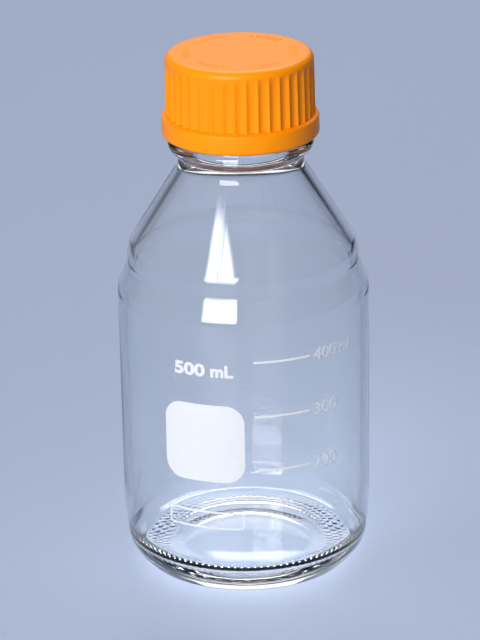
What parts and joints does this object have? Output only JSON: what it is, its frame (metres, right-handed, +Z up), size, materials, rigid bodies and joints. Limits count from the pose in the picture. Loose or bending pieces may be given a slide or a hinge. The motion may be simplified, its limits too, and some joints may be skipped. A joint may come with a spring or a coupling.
{
  "type": "laboratory bottle",
  "caption": "Round borosilicate glass laboratory bottle with a GL 45 thread, an orange screw cap, a pouring ring and white enamel graduations.",
  "frame": {"origin": "centre of the bottom, on the plane that the bottle stands on", "axes": "+Z up along the bottle's axis, -Y towards the print on the front"},
  "size_m": [0.086, 0.0861, 0.1821],
  "materials": {
    "glass": "clear",
    "orange_plastic": "satin",
    "seal": "matte",
    "enamel": "satin"
  },
  "bodies": {
    "bottle": {"glass_bottle": "glass", "pouring_ring": "orange_plastic", "marking_spot": "enamel", "code_box": "enamel", "graduation_200": "enamel", "graduation_300": "enamel", "graduation_400": "enamel"},
    "seal": {"cap_seal": "seal"},
    "cap": {"screw_cap": "orange_plastic"}
  },
  "joints": [
    {"name": "cap_lift", "type": "slide", "parent": "bottle", "child": "seal", "axis": [0, 0, 1], "range_m": [0, 0.028]},
    {"name": "cap_turn", "type": "hinge", "parent": "seal", "child": "cap", "pos_m": [0, 0, 0.1791], "axis": [0, 0, 1], "range_deg": [0, 2520]}
  ],
  "couplings": [
    {"joint": "cap_lift", "follows": "cap_turn", "m_per_rad": 0.00063662}
  ]
}
